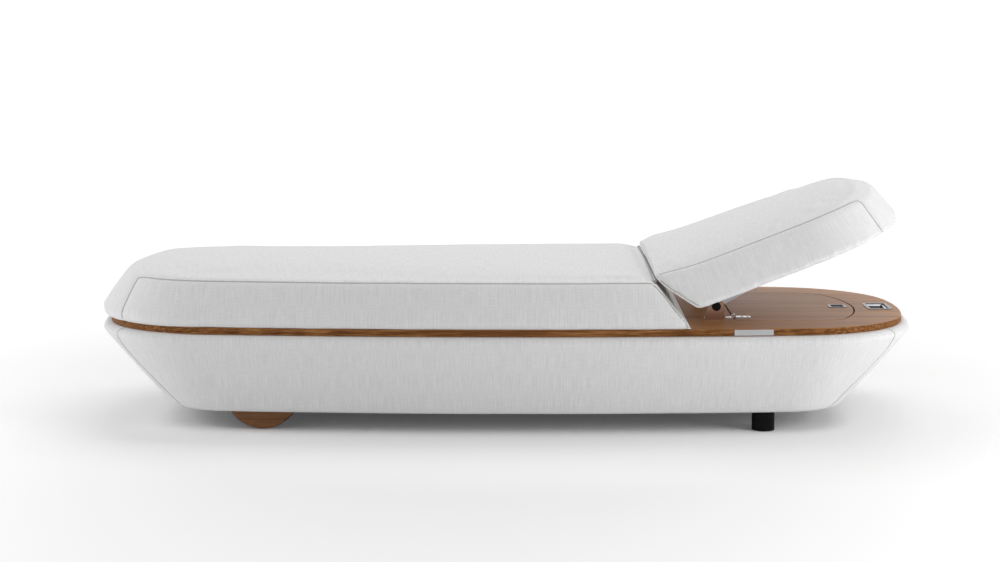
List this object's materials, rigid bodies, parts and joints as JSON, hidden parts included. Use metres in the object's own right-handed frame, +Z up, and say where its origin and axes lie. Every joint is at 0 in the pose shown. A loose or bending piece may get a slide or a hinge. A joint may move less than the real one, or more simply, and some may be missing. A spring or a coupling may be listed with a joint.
{
  "type": "sun lounger",
  "caption": "Upholstered boat-shaped sun lounger with a wood deck, flat mattress, tilting head cushion, storage hatch under the headrest, wheels at the foot end and legs at the head end.",
  "frame": {"origin": "on the floor under the middle of the base", "axes": "+X to the head end, +Y to the back long side, +Z up"},
  "size_m": [2.0738, 0.836, 0.6053],
  "materials": {
    "outdoor_fabric": "woven slub outdoor fabric",
    "plywood": "marine plywood",
    "deck_wood": "satin varnished teak",
    "wheel_wood": "satin varnished teak",
    "tyre_rubber": "matt rubber",
    "black_metal": "black powder coat",
    "black_plastic": "moulded",
    "polished_steel": "polished stainless steel",
    "satin_steel": "satin stainless steel"
  },
  "bodies": {
    "base": {"base_panel_front": "outdoor_fabric", "base_panel_back": "outdoor_fabric", "base_panel_foot": "outdoor_fabric", "base_panel_head": "outdoor_fabric", "bottom_board": "plywood", "rib_foot": "plywood", "rib_wheels": "plywood", "rib_middle": "plywood", "rib_split": "plywood", "rib_hatch": "plywood", "rib_head": "plywood", "deck_board": "deck_wood", "deck_screws": "satin_steel", "storage_tub": "black_plastic", "edge_plate": "satin_steel", "hinge_deck_leaves": "polished_steel", "hinge_pins": "polished_steel", "bracket_front": "polished_steel", "bracket_back": "polished_steel", "bracket_screws": "satin_steel", "ratchet_bosses": "black_plastic", "mattress": "outdoor_fabric", "hinge_welt": "outdoor_fabric", "lift_handle_dish": "polished_steel", "axle": "satin_steel", "axle_rings": "satin_steel", "axle_bracket_front": "black_metal", "axle_bracket_back": "black_metal", "leg_front": "black_metal", "leg_back": "black_metal", "leg_glides": "black_plastic", "leg_studs": "satin_steel", "leg_nuts": "satin_steel"},
    "headrest": {"head_cushion": "outdoor_fabric", "head_board": "plywood", "stay_tracks": "satin_steel"},
    "stays": {"stay_arm_front": "satin_steel", "stay_arm_back": "satin_steel", "stay_rollers": "black_plastic", "roller_pins": "satin_steel"},
    "lid": {"hatch_lid": "deck_wood", "hinge_lid_straps": "polished_steel", "lid_pull_dish": "polished_steel"},
    "lid_pull": {"lid_pull_bail": "polished_steel"},
    "lift_handle": {"lift_handle_bail": "polished_steel"},
    "wheel_front": {"wheel_disc_front": "wheel_wood", "wheel_tyre_front": "tyre_rubber", "wheel_bush_front": "black_plastic"},
    "wheel_back": {"wheel_disc_back": "wheel_wood", "wheel_tyre_back": "tyre_rubber", "wheel_bush_back": "black_plastic"}
  },
  "joints": [
    {"name": "headrest_tilt", "type": "hinge", "parent": "base", "child": "headrest", "pos_m": [0.364, 0, 0.387], "axis": [0, -1, 0], "range_deg": [-20.5, 10]},
    {"name": "stay_swing", "type": "hinge", "parent": "base", "child": "stays", "pos_m": [0.525, 0, 0.309], "axis": [0, -1, 0], "range_deg": [-42, 21]},
    {"name": "lid_open", "type": "hinge", "parent": "base", "child": "lid", "pos_m": [0.572, 0, 0.2793], "axis": [0, -1, 0], "range_deg": [0, 30]},
    {"name": "lid_pull_lift", "type": "hinge", "parent": "lid", "child": "lid_pull", "pos_m": [0.8477, 0, 0.2685], "axis": [0, -1, 0], "range_deg": [0, 85]},
    {"name": "lift_handle_raise", "type": "hinge", "parent": "base", "child": "lift_handle", "pos_m": [0.9447, 0, 0.2695], "axis": [0, -1, 0], "range_deg": [0, 85]},
    {"name": "wheel_front_roll", "type": "hinge", "parent": "base", "child": "wheel_front", "pos_m": [-0.608, -0.244, 0.095], "axis": [0, 1, 0], "continuous": true},
    {"name": "wheel_back_roll", "type": "hinge", "parent": "base", "child": "wheel_back", "pos_m": [-0.608, 0.244, 0.095], "axis": [0, 1, 0], "continuous": true}
  ],
  "couplings": [
    {"joint": "stay_swing", "follows": "headrest_tilt", "ratio": 2}
  ]
}
